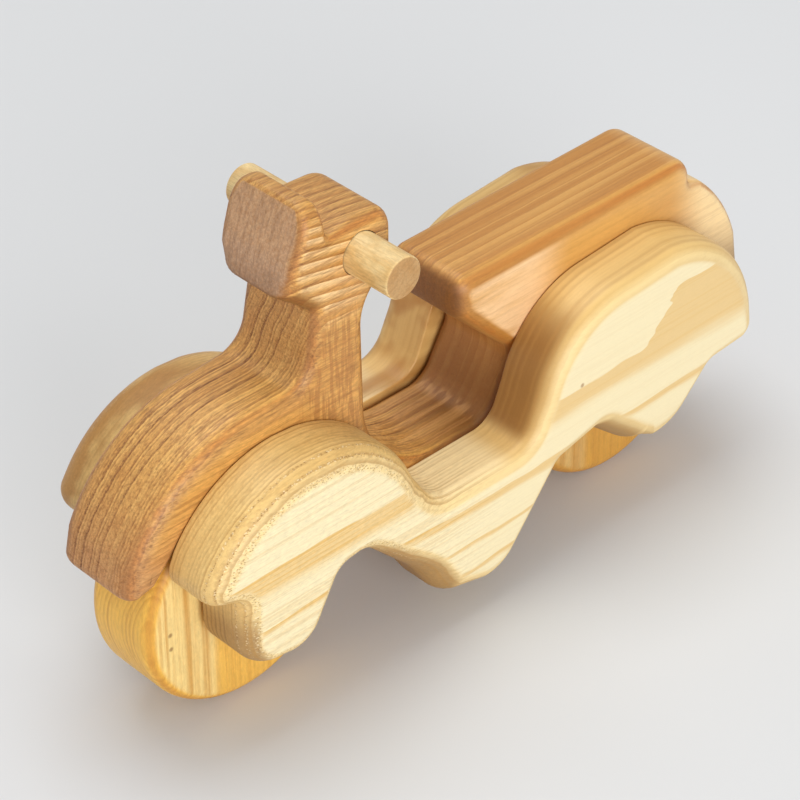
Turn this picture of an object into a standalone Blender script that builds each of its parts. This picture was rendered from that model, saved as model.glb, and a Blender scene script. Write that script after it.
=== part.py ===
# Wooden toy scooter: a centre board between two side panels, two turning wheels and a handlebar.
# X runs forward, Y to the rider's left and Z up. The wheels stand on Z = 0.

import math

import bmesh
import bpy
from mathutils import Matrix, Vector

# Sizes are in millimetres and angles in degrees.
MILLIMETRE = 0.001

# Boards
CENTRE_THICKNESS = 29.4
PANEL_THICKNESS = 18.0
PANEL_INNER_EDGE = 0.6
FIT_GAP = 0.3

# Wheels and axles
WHEELBASE = 140.6
WHEEL_RADIUS = 33.8
WHEEL_SHOULDER = 4.0
WHEEL_SIDE_GAP = 2.3
WHEEL_ARCH_GAP = 3.0
AXLE_DIAMETER = 8.0
AXLE_RADIUS = AXLE_DIAMETER / 2
BORE_CLEARANCE = 0.35
BORE_CHAMFER = 0.6
SOCKET_WALL = 7.0
FRONT_LOBE_WALL = 4.3
REAR_LOBE_WALL = 7.0

# Handlebar dowel, its axis behind the front axle and above it
HANDLEBAR_DIAMETER = 12.0
HANDLEBAR_RADIUS = HANDLEBAR_DIAMETER / 2
HANDLEBAR_LENGTH = 61.0
HANDLEBAR_BACK = 39.9
HANDLEBAR_RISE = 89.3
DOWEL_CHAMFER = 0.7

# Heights above the axles
FLOOR_RISE = 11.7
PANEL_FLOOR_RISE = 12.5
SEAT_RISE = 62.2
UNDERSIDE_DROP = 7.0

# Fender and tail: arcs about centres moved in from the axles and raised above them
CIRCLE_SHIFT = 4.3
CIRCLE_RISE = 9.7
FENDER_DEPTH = 10.5
FENDER_EDGE = 6.0
FENDER_TIP_ANGLE = 4.5
FENDER_TIP_CORNER = 4.2
FENDER_TIP_EDGE = 7.5
FENDER_ARCH_ANGLE = 33.0
FENDER_ARCH_EDGE = 4.7
TAIL_DEPTH = 18.2
TAIL_EDGE = 2.7
TAIL_TIP_ANGLE = 181.0
TAIL_TIP_CORNER = 5.0
TAIL_ARCH_ANGLE = 168.0
ARCH_EDGE = 1.5
TIP_LEAD_ANGLE = 14.0

# Head around the handlebar
HEAD_WALL = 3.4
HEAD_BACK_WALL = 6.4
HEAD_BACK_DROP = 0.8
HEAD_VALLEY_DROP = 0.9
HEAD_TOP = HANDLEBAR_RADIUS + HEAD_WALL
HEAD_REAR = -HANDLEBAR_RADIUS - HEAD_BACK_WALL
CROWN_RISE = 9.6
CROWN_FALL = 7.0
CROWN_STEPS = 5

# Corners of the head and column: ahead of the handlebar's axis, above it, corner radius, edge rounding
PLATE_NECK = (14.9, -11.8, 3.0, 5.0)
PLATE_CHIN = (24.6, -5.3, 5.5, 8.2)
PLATE_FACE = (22.7, 4.0, 24.0, 4.4)
PLATE_BROW = (16.6, 19.4, 2.6, 2.4)
PLATE_CROWN = (11.4, 19.4, 2.6, 2.4)
HEAD_VALLEY = (10.4, HEAD_TOP - HEAD_VALLEY_DROP, 3.5, 3.0)
HEAD_HUMP = (0.6, HEAD_TOP, 12.0, 5.0)
HEAD_BACK = (HEAD_REAR, HEAD_TOP - HEAD_BACK_DROP, 9.5, 5.0)
HEAD_HEEL = (HEAD_REAR, -7.5, 6.0, 5.0)
COLUMN_WAIST = (-2.2, -18.0, 14.0, 5.0)

# Corners on a level: ahead of the handlebar's axis or the rear axle, corner radius, edge rounding
COLUMN_FOOT_FRONT = (18.6, 9.0, 4.5)
COLUMN_FOOT_BACK = (-2.4, 28.0, 4.0)
BODY_FOOT = (53.2, 9.0, 4.0)
SEAT_NOSE = (65.3, 7.0, 5.8)

# Corners under the seat: ahead of the rear axle, above the seat's top, corner radius, edge rounding
SEAT_THROAT = (43.6, -32.4, 5.0, 5.0)
SEAT_BEAK = (65.3, -11.5, 10.0, 7.0)

# Step from the seat down to the tail
SEAT_STEP = 8.6
SEAT_BACK_LEDGE = 2.2
SEAT_BACK_CORNER = 6.5
SEAT_BACK_EDGE = 4.2
SEAT_BACK_FILLET = 1.4
SEAT_BACK_LEAD_ANGLE = 3.0

# Bulges of a side panel: centre ahead of its axle and above it, radius
FRONT_BULGE = (-7.8, 9.0, 39.8)
KNEE_BULGE = (18.3, 16.5, 32.6)
REAR_BULGE = (3.3, 9.5, 41.3)

# Arcs of the bulges: angles at which they start and end
FRONT_CHEEK_ANGLES = (32.0, 90.0)
FRONT_SHOULDER_ANGLES = (100.0, 160.0)
KNEE_ANGLES = (15.0, 88.0)
REAR_SHOULDER_ANGLES = (96.0, 172.0)

# Edge rounding of a side panel and the corner at its front tip
PANEL_FRONT_EDGE = 8.0
PANEL_SHOULDER_EDGE = 8.0
PANEL_TOP_EDGE = 6.0
PANEL_REAR_EDGE = 7.0
PANEL_TIP_ANGLE = 17.5
PANEL_TIP_CORNER = 6.0
PANEL_TIP_EDGE = 7.0

# Corners of a side panel: ahead of the front axle, above it, corner radius, edge rounding
PANEL_NOTCH = (17.7, 16.6, 3.0, 6.5)
FRONT_ARCH_FRONT = (-15.8, 11.0, 6.0, 4.0)
FRONT_ARCH_BACK = (-26.0, 11.0, 10.0, 5.0)

# Corners of a side panel: ahead of the rear axle, above it, corner radius, edge rounding
PANEL_HEEL = (-37.4, 4.6, 6.0, 5.5)
REAR_LOBE_NOTCH = (-18.5, 4.6, 5.0, 4.0)
REAR_ARCH_BACK = (26.8, 2.3, 3.0, 9.5)
REAR_ARCH_FRONT = (43.5, 2.3, 4.0, 4.0)

# Corners of a side panel on a level: ahead of its axle, corner radius, edge rounding
PANEL_FLOOR_FRONT = (-49.8, 11.0, 5.0)
PANEL_FLOOR_BACK = (54.8, 9.0, 5.0)
FRONT_LOBE_FRONT = (17.7, 12.0, 6.0)
FRONT_LOBE_BACK = (-5.2, 11.0, 4.0)
REAR_LOBE_FRONT = (10.8, 11.0, 9.5)
REAR_LOBE_BACK = (-2.8, 15.0, 4.0)

# Middle lobe of a side panel: ahead of the wheelbase's middle, above the axles, corner radius, edge rounding
MIDDLE_LOBE_BACK = (-5.4, -23.6, 13.0, 4.0)
MIDDLE_LOBE_FRONT = (14.7, -23.6, 12.0, 9.0)
MIDDLE_LOBE_SHIN = (23.8, -10.6, 30.0, 9.5)

# Smoothness
ARC_STEP_ANGLE = 10.0
EDGE_STEPS = 4
TURNED_SEGMENTS = 48
SHOULDER_STEPS = 5
SMOOTH_ANGLE = 35.0
LEAST_CORNER = 0.05

# Places that follow from the sizes
AXLE_HEIGHT = WHEEL_RADIUS
ARCH_RADIUS = WHEEL_RADIUS + WHEEL_ARCH_GAP
FENDER_RADIUS = ARCH_RADIUS + FENDER_DEPTH
TAIL_RADIUS = ARCH_RADIUS + TAIL_DEPTH
WHEEL_WIDTH = CENTRE_THICKNESS - 2 * WHEEL_SIDE_GAP
CENTRE_FACE = CENTRE_THICKNESS / 2
PANEL_INNER_FACE = CENTRE_FACE + FIT_GAP
PANEL_OUTER_FACE = PANEL_INNER_FACE + PANEL_THICKNESS
SOCKET_END = PANEL_OUTER_FACE - SOCKET_WALL
MIDDLE = (0.0, AXLE_HEIGHT)
FRONT_AXLE = (WHEELBASE / 2, AXLE_HEIGHT)
REAR_AXLE = (-WHEELBASE / 2, AXLE_HEIGHT)
FENDER_CENTRE = (FRONT_AXLE[0] - CIRCLE_SHIFT, AXLE_HEIGHT + CIRCLE_RISE)
TAIL_CENTRE = (REAR_AXLE[0] + CIRCLE_SHIFT, AXLE_HEIGHT + CIRCLE_RISE)
HANDLEBAR_AXIS = (FRONT_AXLE[0] - HANDLEBAR_BACK, AXLE_HEIGHT + HANDLEBAR_RISE)
FLOOR = AXLE_HEIGHT + FLOOR_RISE
PANEL_FLOOR = AXLE_HEIGHT + PANEL_FLOOR_RISE
SEAT_TOP = AXLE_HEIGHT + SEAT_RISE
SEAT_ORIGIN = (REAR_AXLE[0], SEAT_TOP)
PLATE_TOP = HANDLEBAR_AXIS[1] + PLATE_BROW[1]


def clear_scene():
    """Remove every object that the file starts with."""
    for item in list(bpy.data.objects):
        bpy.data.objects.remove(item, do_unlink=True)


def wood(name, colour, roughness):
    """Bare wood of one colour."""
    material = bpy.data.materials.new(name)
    material.use_nodes = True
    shader = material.node_tree.nodes["Principled BSDF"]
    shader.inputs["Base Color"].default_value = (*colour, 1.0)
    shader.inputs["Roughness"].default_value = roughness
    shader.inputs["Metallic"].default_value = 0.0
    return material


def corner(origin, point):
    """Outline corner placed from its origin."""
    ahead, up, radius, edge = point
    return (origin[0] + ahead, origin[1] + up, radius, edge)


def level_corner(origin, height, point):
    """Outline corner placed ahead of its origin on a level."""
    ahead, radius, edge = point
    return (origin[0] + ahead, height, radius, edge)


def on_circle(centre, radius, angle):
    """Place on a circle, its angle counted up from straight ahead."""
    turn = math.radians(angle)
    return (centre[0] + radius * math.cos(turn), centre[1] + radius * math.sin(turn))


def arc(centre, radius, span, first_edge, last_edge):
    """Outline points along an arc, with the edge rounding changing evenly on the way."""
    start, end = span
    count = max(2, math.ceil(abs(end - start) / ARC_STEP_ANGLE))
    points = []
    for step in range(count + 1):
        share = step / count
        place = on_circle(centre, radius, start + (end - start) * share)
        points.append((*place, 0.0, first_edge + (last_edge - first_edge) * share))
    return points


def bulge(axle, circle, span, first_edge, last_edge):
    """Arc of one of the bulges of a side panel."""
    ahead, up, radius = circle
    return arc((axle[0] + ahead, axle[1] + up), radius, span, first_edge, last_edge)


def fender_outline():
    """Fender from its tip back to the column."""
    tip = on_circle(FENDER_CENTRE, FENDER_RADIUS, FENDER_TIP_ANGLE)
    top = FENDER_CENTRE[1] + FENDER_RADIUS
    span = (FENDER_TIP_ANGLE + TIP_LEAD_ANGLE, 90.0)
    return [
        (*tip, FENDER_TIP_CORNER, FENDER_TIP_EDGE),
        *arc(FENDER_CENTRE, FENDER_RADIUS, span, FENDER_EDGE, FENDER_EDGE),
        level_corner(HANDLEBAR_AXIS, top, COLUMN_FOOT_FRONT),
    ]


def head_outline():
    """Up the front of the column, over the head and down to the floor."""
    corners = (PLATE_NECK, PLATE_CHIN, PLATE_FACE, PLATE_BROW, PLATE_CROWN, HEAD_VALLEY)
    corners += (HEAD_HUMP, HEAD_BACK, HEAD_HEEL, COLUMN_WAIST)
    points = [corner(HANDLEBAR_AXIS, point) for point in corners]
    return points + [level_corner(HANDLEBAR_AXIS, FLOOR, COLUMN_FOOT_BACK)]


def seat_outline():
    """From the floor up around the seat and down over the tail to its tip."""
    step_height = SEAT_TOP - SEAT_STEP
    rise = min(step_height - TAIL_CENTRE[1], TAIL_RADIUS)
    step_angle = 180.0 - math.degrees(math.asin(rise / TAIL_RADIUS))
    seat_back = on_circle(TAIL_CENTRE, TAIL_RADIUS, step_angle)[0] + SEAT_BACK_LEDGE
    span = (step_angle + SEAT_BACK_LEAD_ANGLE, TAIL_TIP_ANGLE - TIP_LEAD_ANGLE)
    tip = on_circle(TAIL_CENTRE, TAIL_RADIUS, TAIL_TIP_ANGLE)
    return [
        level_corner(REAR_AXLE, FLOOR, BODY_FOOT),
        corner(SEAT_ORIGIN, SEAT_THROAT),
        corner(SEAT_ORIGIN, SEAT_BEAK),
        level_corner(REAR_AXLE, SEAT_TOP, SEAT_NOSE),
        (seat_back, SEAT_TOP, SEAT_BACK_CORNER, SEAT_BACK_EDGE),
        (seat_back, step_height, SEAT_BACK_FILLET, SEAT_BACK_EDGE),
        *arc(TAIL_CENTRE, TAIL_RADIUS, span, TAIL_EDGE, TAIL_EDGE),
        (*tip, TAIL_TIP_CORNER, TAIL_EDGE),
    ]


def underside_outline():
    """Rear wheel arch, the short underside and the front wheel arch."""
    below = math.degrees(math.asin(UNDERSIDE_DROP / ARCH_RADIUS))
    rear_span = (TAIL_ARCH_ANGLE, -below)
    front_span = (180.0 + below, FENDER_ARCH_ANGLE)
    rear_arch = arc(REAR_AXLE, ARCH_RADIUS, rear_span, ARCH_EDGE, ARCH_EDGE)
    front_arch = arc(FRONT_AXLE, ARCH_RADIUS, front_span, ARCH_EDGE, FENDER_ARCH_EDGE)
    return rear_arch + front_arch


def centre_board_outline():
    """Whole outline of the centre board, anticlockwise from the fender's tip."""
    return fender_outline() + head_outline() + seat_outline() + underside_outline()


def panel_top_outline():
    """Front bulge, the dip between the bulges and the knee and rear bulges."""
    bulge_centre = (FRONT_AXLE[0] + FRONT_BULGE[0], FRONT_AXLE[1] + FRONT_BULGE[1])
    tip = on_circle(bulge_centre, FRONT_BULGE[2], PANEL_TIP_ANGLE)
    return [
        (*tip, PANEL_TIP_CORNER, PANEL_TIP_EDGE),
        *bulge(FRONT_AXLE, FRONT_BULGE, FRONT_CHEEK_ANGLES, PANEL_FRONT_EDGE, PANEL_SHOULDER_EDGE),
        *bulge(FRONT_AXLE, FRONT_BULGE, FRONT_SHOULDER_ANGLES, PANEL_SHOULDER_EDGE, PANEL_SHOULDER_EDGE),
        level_corner(FRONT_AXLE, PANEL_FLOOR, PANEL_FLOOR_FRONT),
        level_corner(REAR_AXLE, PANEL_FLOOR, PANEL_FLOOR_BACK),
        *bulge(REAR_AXLE, KNEE_BULGE, KNEE_ANGLES, PANEL_TOP_EDGE, PANEL_TOP_EDGE),
        *bulge(REAR_AXLE, REAR_BULGE, REAR_SHOULDER_ANGLES, PANEL_TOP_EDGE, PANEL_REAR_EDGE),
    ]


def panel_foot_outline():
    """Rear, middle and front lobes with the arches between them."""
    rear_foot = AXLE_HEIGHT - AXLE_RADIUS - REAR_LOBE_WALL
    front_foot = AXLE_HEIGHT - AXLE_RADIUS - FRONT_LOBE_WALL
    return [
        corner(REAR_AXLE, PANEL_HEEL),
        corner(REAR_AXLE, REAR_LOBE_NOTCH),
        level_corner(REAR_AXLE, rear_foot, REAR_LOBE_BACK),
        level_corner(REAR_AXLE, rear_foot, REAR_LOBE_FRONT),
        corner(REAR_AXLE, REAR_ARCH_BACK),
        corner(REAR_AXLE, REAR_ARCH_FRONT),
        corner(MIDDLE, MIDDLE_LOBE_BACK),
        corner(MIDDLE, MIDDLE_LOBE_FRONT),
        corner(MIDDLE, MIDDLE_LOBE_SHIN),
        corner(FRONT_AXLE, FRONT_ARCH_BACK),
        corner(FRONT_AXLE, FRONT_ARCH_FRONT),
        level_corner(FRONT_AXLE, front_foot, FRONT_LOBE_BACK),
        level_corner(FRONT_AXLE, front_foot, FRONT_LOBE_FRONT),
        corner(FRONT_AXLE, PANEL_NOTCH),
    ]


def side_panel_outline():
    """Whole outline of a side panel, anticlockwise from the front bulge's tip."""
    return panel_top_outline() + panel_foot_outline()


def left_of(direction):
    """Direction turned a quarter turn to the left, which is into an anticlockwise outline."""
    return Vector((-direction.y, direction.x))


def steps_at(points, index):
    """Steps in which an outline comes to a point and leaves it, and the turn between them."""
    here = Vector(points[index][:2])
    coming = here - Vector(points[index - 1][:2])
    leaving = Vector(points[(index + 1) % len(points)][:2]) - here
    turn = math.atan2(coming.cross(leaving), coming.dot(leaving))
    return coming, leaving, turn


def inset(points, share):
    """Outline moved inward by a share of the edge rounding at each point."""
    moved = []
    for index, (x, z, radius, edge) in enumerate(points):
        coming, leaving, turn = steps_at(points, index)
        side = left_of(coming.normalized())
        inward = (side + left_of(leaving.normalized())).normalized()
        depth = edge * share
        place = Vector((x, z)) + inward * (depth / inward.dot(side))
        if radius:
            radius = max(radius - depth, LEAST_CORNER) if turn > 0 else radius + depth
        moved.append((place.x, place.y, radius, edge))
    return moved


def corner_counts(points):
    """Number of arc steps at each corner of an outline, none at a point without a radius."""
    counts = []
    for index, point in enumerate(points):
        turn = math.degrees(abs(steps_at(points, index)[2]))
        counts.append(max(2, math.ceil(turn / ARC_STEP_ANGLE)) if point[2] else 0)
    return counts


def corner_arc(points, index, count):
    """Places along the arc of a corner, made smaller where its neighbours leave less room."""
    coming, leaving, turn = steps_at(points, index)
    radius = points[index][2]
    before = points[index - 1][2]
    after = points[(index + 1) % len(points)][2]
    room = radius * min(coming.length / (radius + before), leaving.length / (radius + after))
    slope = math.tan(abs(turn) / 2)
    reach = min(radius * slope, room)
    start = Vector(points[index][:2]) - coming.normalized() * reach
    spoke = left_of(coming.normalized()) * math.copysign(reach / slope, turn)
    return [start + spoke - Matrix.Rotation(turn * step / count, 2) @ spoke for step in range(count + 1)]


def rounded(points, counts):
    """Places along an outline with arcs in place of its corners, each with its edge rounding."""
    places = []
    for index, (x, z, radius, edge) in enumerate(points):
        if radius:
            places += [(place, edge) for place in corner_arc(points, index, counts[index])]
        else:
            places.append((Vector((x, z)), edge))
    return places


def edge_rings(points, face, outward):
    """Rings around a rounded-over edge, from the rim of a board to its flat face."""
    counts = corner_counts(points)
    rings = []
    for step in range(EDGE_STEPS + 1):
        swing = math.radians(90.0 * step / EDGE_STEPS)
        ring = []
        for place, edge in rounded(inset(points, 1.0 - math.cos(swing)), counts):
            ring.append((place.x, face - outward * edge * (1.0 - math.sin(swing)), place.y))
        rings.append(ring)
    return rings


def circle_rings(profile):
    """Rings around Y, one for each radius and place along Y in a profile."""
    rings = []
    for radius, y in profile:
        angles = [360.0 * step / TURNED_SEGMENTS for step in range(TURNED_SEGMENTS)]
        places = [on_circle((0.0, 0.0), radius, angle) for angle in angles]
        rings.append([(x, y, z) for x, z in places])
    return rings


def skin(rings, closed):
    """Mesh through rings of equal length, closed on itself or with a flat cap at each end."""
    builder = bmesh.new()
    loops = [[builder.verts.new(Vector(place) * MILLIMETRE) for place in ring] for ring in rings]
    pairs = list(zip(loops, loops[1:]))
    if closed:
        pairs.append((loops[-1], loops[0]))
    for first, second in pairs:
        for index in range(len(first)):
            face = builder.faces.new((first[index - 1], second[index - 1], second[index], first[index]))
            face.smooth = True
    if not closed:
        builder.faces.new(loops[0])
        builder.faces.new(reversed(loops[-1]))
    bmesh.ops.recalc_face_normals(builder, faces=builder.faces)
    return builder


def round_crown(builder):
    """Round the top corners of the headlight plate as seen from the front."""
    spring = PLATE_TOP - CROWN_RISE
    for step in range(CROWN_STEPS):
        height = spring + CROWN_RISE * math.sin(math.radians(90.0 * step / CROWN_STEPS))
        whole = builder.verts[:] + builder.edges[:] + builder.faces[:]
        level = (0.0, 0.0, height * MILLIMETRE)
        bmesh.ops.bisect_plane(builder, geom=whole, plane_co=level, plane_no=(0.0, 0.0, 1.0))
    for vertex in builder.verts:
        share = (vertex.co.z / MILLIMETRE - spring) / CROWN_RISE
        if share > 0.0:
            fall = CROWN_FALL * (1.0 - math.sqrt(max(1.0 - share ** 2, 0.0)))
            vertex.co.y *= 1.0 - fall / CENTRE_FACE


def new_piece(name, builder, place, material, frame):
    """Object with its origin at a place in the frame's X and Z plane."""
    mesh = bpy.data.meshes.new(name)
    builder.to_mesh(mesh)
    builder.free()
    mesh.set_sharp_from_angle(angle=math.radians(SMOOTH_ANGLE))
    mesh.materials.append(material)
    piece = bpy.data.objects.new(name, mesh)
    piece.parent = frame
    piece.location = Vector((place[0], 0.0, place[1])) * MILLIMETRE
    bpy.context.scene.collection.objects.link(piece)
    return piece


def drill(piece, name, axis, radius, start, end):
    """Cut a round hole along Y into a piece."""
    rings = circle_rings([(radius, start), (radius, end)])
    cutter = new_piece(name, skin(rings, False), axis, None, piece.parent)
    cutter.hide_render = True
    cutter.display_type = "WIRE"
    hole = piece.modifiers.new(name, "BOOLEAN")
    hole.operation = "DIFFERENCE"
    hole.solver = "EXACT"
    hole.object = cutter


def build_frame():
    """Empty that carries every piece and sets the middle of the centre board's length over the origin."""
    ends = [x for x, y, z in edge_rings(centre_board_outline(), CENTRE_FACE, 1)[0]]
    frame = bpy.data.objects.new("scooter", None)
    frame.location.x = -(min(ends) + max(ends)) / 2 * MILLIMETRE
    bpy.context.scene.collection.objects.link(frame)
    return frame


def build_centre_board(frame):
    """Board with fender, column, head, floor, seat and tail in one."""
    points = centre_board_outline()
    rings = edge_rings(points, -CENTRE_FACE, -1)[::-1] + edge_rings(points, CENTRE_FACE, 1)
    builder = skin(rings, False)
    round_crown(builder)
    material = wood("reddish_centre_wood", (0.50, 0.26, 0.10), 0.6)
    board = new_piece("centre_board", builder, (0.0, 0.0), material, frame)
    hole_radius = HANDLEBAR_RADIUS + FIT_GAP
    drill(board, "handlebar_hole", HANDLEBAR_AXIS, hole_radius, -CENTRE_THICKNESS, CENTRE_THICKNESS)


def build_side_panel(name, side, material, frame):
    """Panel with a well rounded outer edge and blind sockets for the axles' ends."""
    points = side_panel_outline()
    inner_points = [(x, z, radius, PANEL_INNER_EDGE) for x, z, radius, edge in points]
    inner_rings = edge_rings(inner_points, side * PANEL_INNER_FACE, -side)
    outer_rings = edge_rings(points, side * PANEL_OUTER_FACE, side)
    builder = skin(inner_rings[::-1] + outer_rings, False)
    panel = new_piece(name, builder, (0.0, 0.0), material, frame)
    for axle_name, axle in (("front", FRONT_AXLE), ("rear", REAR_AXLE)):
        socket = name + "_" + axle_name + "_socket"
        drill(panel, socket, axle, AXLE_RADIUS + FIT_GAP, 0.0, side * SOCKET_END)


def build_wheel(name, axle, material, frame):
    """Solid wheel with rounded shoulders and a bore that runs free on its axle."""
    half = WHEEL_WIDTH / 2
    bore = AXLE_RADIUS + BORE_CLEARANCE
    side = [(bore, half - BORE_CHAMFER), (bore + BORE_CHAMFER, half)]
    shoulder_centre = (WHEEL_RADIUS - WHEEL_SHOULDER, half - WHEEL_SHOULDER)
    for step in range(SHOULDER_STEPS + 1):
        angle = 90.0 - 90.0 * step / SHOULDER_STEPS
        side.append(on_circle(shoulder_centre, WHEEL_SHOULDER, angle))
    other_side = [(radius, -y) for radius, y in reversed(side)]
    new_piece(name, skin(circle_rings(side + other_side), True), axle, material, frame)


def build_dowel(name, radius, length, axis, material, frame):
    """Round dowel along Y with a small chamfer at each end."""
    half = length / 2
    end = [(radius, half - DOWEL_CHAMFER), (radius - DOWEL_CHAMFER, half)]
    other_end = [(radius, -y) for radius, y in reversed(end)]
    new_piece(name, skin(circle_rings(other_end + end), False), axis, material, frame)


def build_scooter():
    """All the pieces in one frame."""
    clear_scene()
    frame = build_frame()
    panel_wood = wood("pale_panel_wood", (0.78, 0.58, 0.30), 0.6)
    wheel_wood = wood("honey_wheel_wood", (0.68, 0.42, 0.14), 0.55)
    dowel_wood = wood("pale_dowel_wood", (0.74, 0.56, 0.28), 0.6)
    axle_length = 2 * (SOCKET_END - FIT_GAP)
    build_centre_board(frame)
    build_side_panel("left_side_panel", 1, panel_wood, frame)
    build_side_panel("right_side_panel", -1, panel_wood, frame)
    for end, axle in (("front", FRONT_AXLE), ("rear", REAR_AXLE)):
        build_wheel(end + "_wheel", axle, wheel_wood, frame)
        build_dowel(end + "_axle", AXLE_RADIUS, axle_length, axle, dowel_wood, frame)
    build_dowel("handlebar", HANDLEBAR_RADIUS, HANDLEBAR_LENGTH, HANDLEBAR_AXIS, dowel_wood, frame)


build_scooter()
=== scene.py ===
# Wooden toy scooter: finely rounded boards, turned wheels and dowels, and their wood finishes.
# Sizes are in millimetres and angles in degrees, and meshes are made in metres.

import math

import bmesh
import bpy
from mathutils import Matrix, Vector


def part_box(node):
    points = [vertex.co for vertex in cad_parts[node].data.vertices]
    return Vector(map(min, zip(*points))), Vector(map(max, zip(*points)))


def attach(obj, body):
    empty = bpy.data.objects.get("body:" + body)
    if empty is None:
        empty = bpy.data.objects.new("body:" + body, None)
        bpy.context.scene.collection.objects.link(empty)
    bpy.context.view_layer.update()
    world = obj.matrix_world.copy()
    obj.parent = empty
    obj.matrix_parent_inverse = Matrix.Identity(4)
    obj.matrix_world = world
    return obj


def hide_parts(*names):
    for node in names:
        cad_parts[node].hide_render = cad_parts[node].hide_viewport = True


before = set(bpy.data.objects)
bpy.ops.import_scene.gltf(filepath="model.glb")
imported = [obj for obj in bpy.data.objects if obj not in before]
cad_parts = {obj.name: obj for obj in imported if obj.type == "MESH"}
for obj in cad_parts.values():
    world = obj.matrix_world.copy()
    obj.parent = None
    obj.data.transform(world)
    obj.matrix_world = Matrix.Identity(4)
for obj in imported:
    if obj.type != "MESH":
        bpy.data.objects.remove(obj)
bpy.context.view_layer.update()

MILLIMETRE = 0.001


def box_of(node):
    """Lowest and highest corner of a node."""
    low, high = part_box(node)
    return Vector(low) / MILLIMETRE, Vector(high) / MILLIMETRE


def axis_of(node):
    """Place of a round node's axis in the X and Z plane."""
    low, high = box_of(node)
    return ((low.x + high.x) / 2, (low.z + high.z) / 2)


def size_of(node):
    """Lengths of a node along X, Y and Z."""
    low, high = box_of(node)
    return high - low


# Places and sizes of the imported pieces
FRONT_AXLE = axis_of("front_axle")
REAR_AXLE = axis_of("rear_axle")
MIDDLE = ((FRONT_AXLE[0] + REAR_AXLE[0]) / 2, FRONT_AXLE[1])
AXLE_HEIGHT = FRONT_AXLE[1]
AXLE_RADIUS = size_of("front_axle").z / 2
AXLE_LENGTH = size_of("front_axle").y
WHEEL_RADIUS = size_of("front_wheel").z / 2
WHEEL_WIDTH = size_of("front_wheel").y
HANDLEBAR_AXIS = axis_of("handlebar")
HANDLEBAR_RADIUS = size_of("handlebar").z / 2
HANDLEBAR_LENGTH = size_of("handlebar").y
CENTRE_FACE = box_of("centre_board")[1].y
PANEL_INNER_FACE = box_of("left_side_panel")[0].y
PANEL_OUTER_FACE = box_of("left_side_panel")[1].y

# Turned pieces
BORE_CLEARANCE = 0.35
BORE_CHAMFER = 0.6
WHEEL_SHOULDER = 4.0
DOWEL_ROUNDING = 0.7
HOLE_GAP = 0.22

# Heights above the axles
FLOOR = AXLE_HEIGHT + 11.7
PANEL_FLOOR = AXLE_HEIGHT + 12.5
SEAT_TOP = AXLE_HEIGHT + 62.2
UNDERSIDE_DROP = 7.0
FRONT_LOBE_FOOT = AXLE_HEIGHT - AXLE_RADIUS - 4.3
REAR_LOBE_FOOT = AXLE_HEIGHT - AXLE_RADIUS - 7.0
SEAT_ORIGIN = (REAR_AXLE[0], SEAT_TOP)

# Fender and tail: arcs about centres moved in from the axles and raised above them
CIRCLE_SHIFT = 4.3
CIRCLE_RISE = 9.7
ARCH_RADIUS = WHEEL_RADIUS + 3.0
FENDER_RADIUS = ARCH_RADIUS + 10.5
FENDER_CENTRE = (FRONT_AXLE[0] - CIRCLE_SHIFT, AXLE_HEIGHT + CIRCLE_RISE)
FENDER_EDGE = 6.0
FENDER_TIP_ANGLE = 4.5
FENDER_TIP_CORNER = 4.2
FENDER_TIP_EDGE = 6.6
FENDER_ARCH_ANGLE = 33.0
FENDER_ARCH_EDGE = 4.2
TAIL_RADIUS = ARCH_RADIUS + 18.2
TAIL_CENTRE = (REAR_AXLE[0] + CIRCLE_SHIFT, AXLE_HEIGHT + CIRCLE_RISE)
TAIL_EDGE = 2.7
TAIL_TIP_ANGLE = 181.0
TAIL_TIP_CORNER = 5.0
TAIL_ARCH_ANGLE = 168.0
ARCH_EDGE = 1.5
ARCH_END_ROOM = 2
TIP_LEAD_ANGLE = 20.0

# Corners of the head and column: ahead of the handlebar's axis, above it, corner radius, edge rounding
PLATE_NECK = (14.9, -11.8, 3.0, 5.0)
PLATE_CHIN = (24.6, -5.3, 5.5, 8.2)
PLATE_FACE = (22.7, 4.0, 24.0, 4.4)
PLATE_BROW = (16.6, 19.4, 2.6, 2.4)
PLATE_CROWN = (11.4, 19.4, 2.6, 2.4)
HEAD_VALLEY = (10.4, 8.5, 3.5, 3.0)
HEAD_HUMP = (0.6, 9.4, 12.0, 5.0)
HEAD_BACK = (-12.4, 8.6, 9.5, 5.0)
HEAD_HEEL = (-12.4, -7.5, 6.0, 5.0)
COLUMN_WAIST = (-2.2, -18.0, 14.0, 5.0)
CROWN_RISE = 9.6
CROWN_FALL = 7.0
CROWN_STEPS = 12
PLATE_TOP = HANDLEBAR_AXIS[1] + PLATE_BROW[1]

# Corners on a level: ahead of the handlebar's axis or the rear axle, corner radius, edge rounding
COLUMN_FOOT_FRONT = (18.6, 9.0, 4.5)
COLUMN_FOOT_BACK = (-2.4, 28.0, 4.0)
BODY_FOOT = (53.2, 9.0, 4.0)
SEAT_NOSE = (65.3, 7.0, 5.8)

# Corners under the seat: ahead of the rear axle, above the seat's top, corner radius, edge rounding
SEAT_THROAT = (43.6, -32.4, 5.0, 5.0)
SEAT_BEAK = (65.3, -11.5, 10.0, 7.0)

# Step from the seat down to the tail
SEAT_STEP = 8.6
SEAT_BACK_LEDGE = 2.2
SEAT_BACK_CORNER = 6.5
SEAT_BACK_EDGE = 4.2
SEAT_BACK_FILLET = 1.4
SEAT_BACK_LEAD_ANGLE = 3.0

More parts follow.
